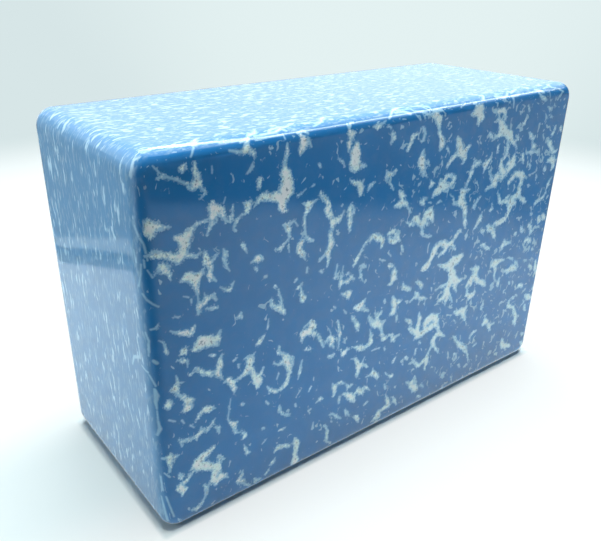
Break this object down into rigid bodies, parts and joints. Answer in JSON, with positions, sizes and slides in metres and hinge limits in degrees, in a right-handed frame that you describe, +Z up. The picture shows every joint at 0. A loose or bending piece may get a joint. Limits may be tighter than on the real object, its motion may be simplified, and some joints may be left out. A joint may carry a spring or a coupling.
{
  "type": "foam block",
  "caption": "Rounded rectangular closed-cell foam block with blue and white marbling, used as a firm support or spacer on any of its faces.",
  "frame": {"origin": "middle of the underside, as the block stands on one long narrow side", "axes": "+X along the length, +Y through the thickness from the front large face to the back one, +Z up"},
  "size_m": [0.23, 0.09, 0.15],
  "materials": {
    "marbled_foam": "closed-cell EVA foam, mid blue with flush white shreds pressed flat in the plane of the large faces; tight clear film gives it a gloss"
  },
  "bodies": {
    "root": {"foam_block": "marbled_foam"}
  },
  "joints": []
}
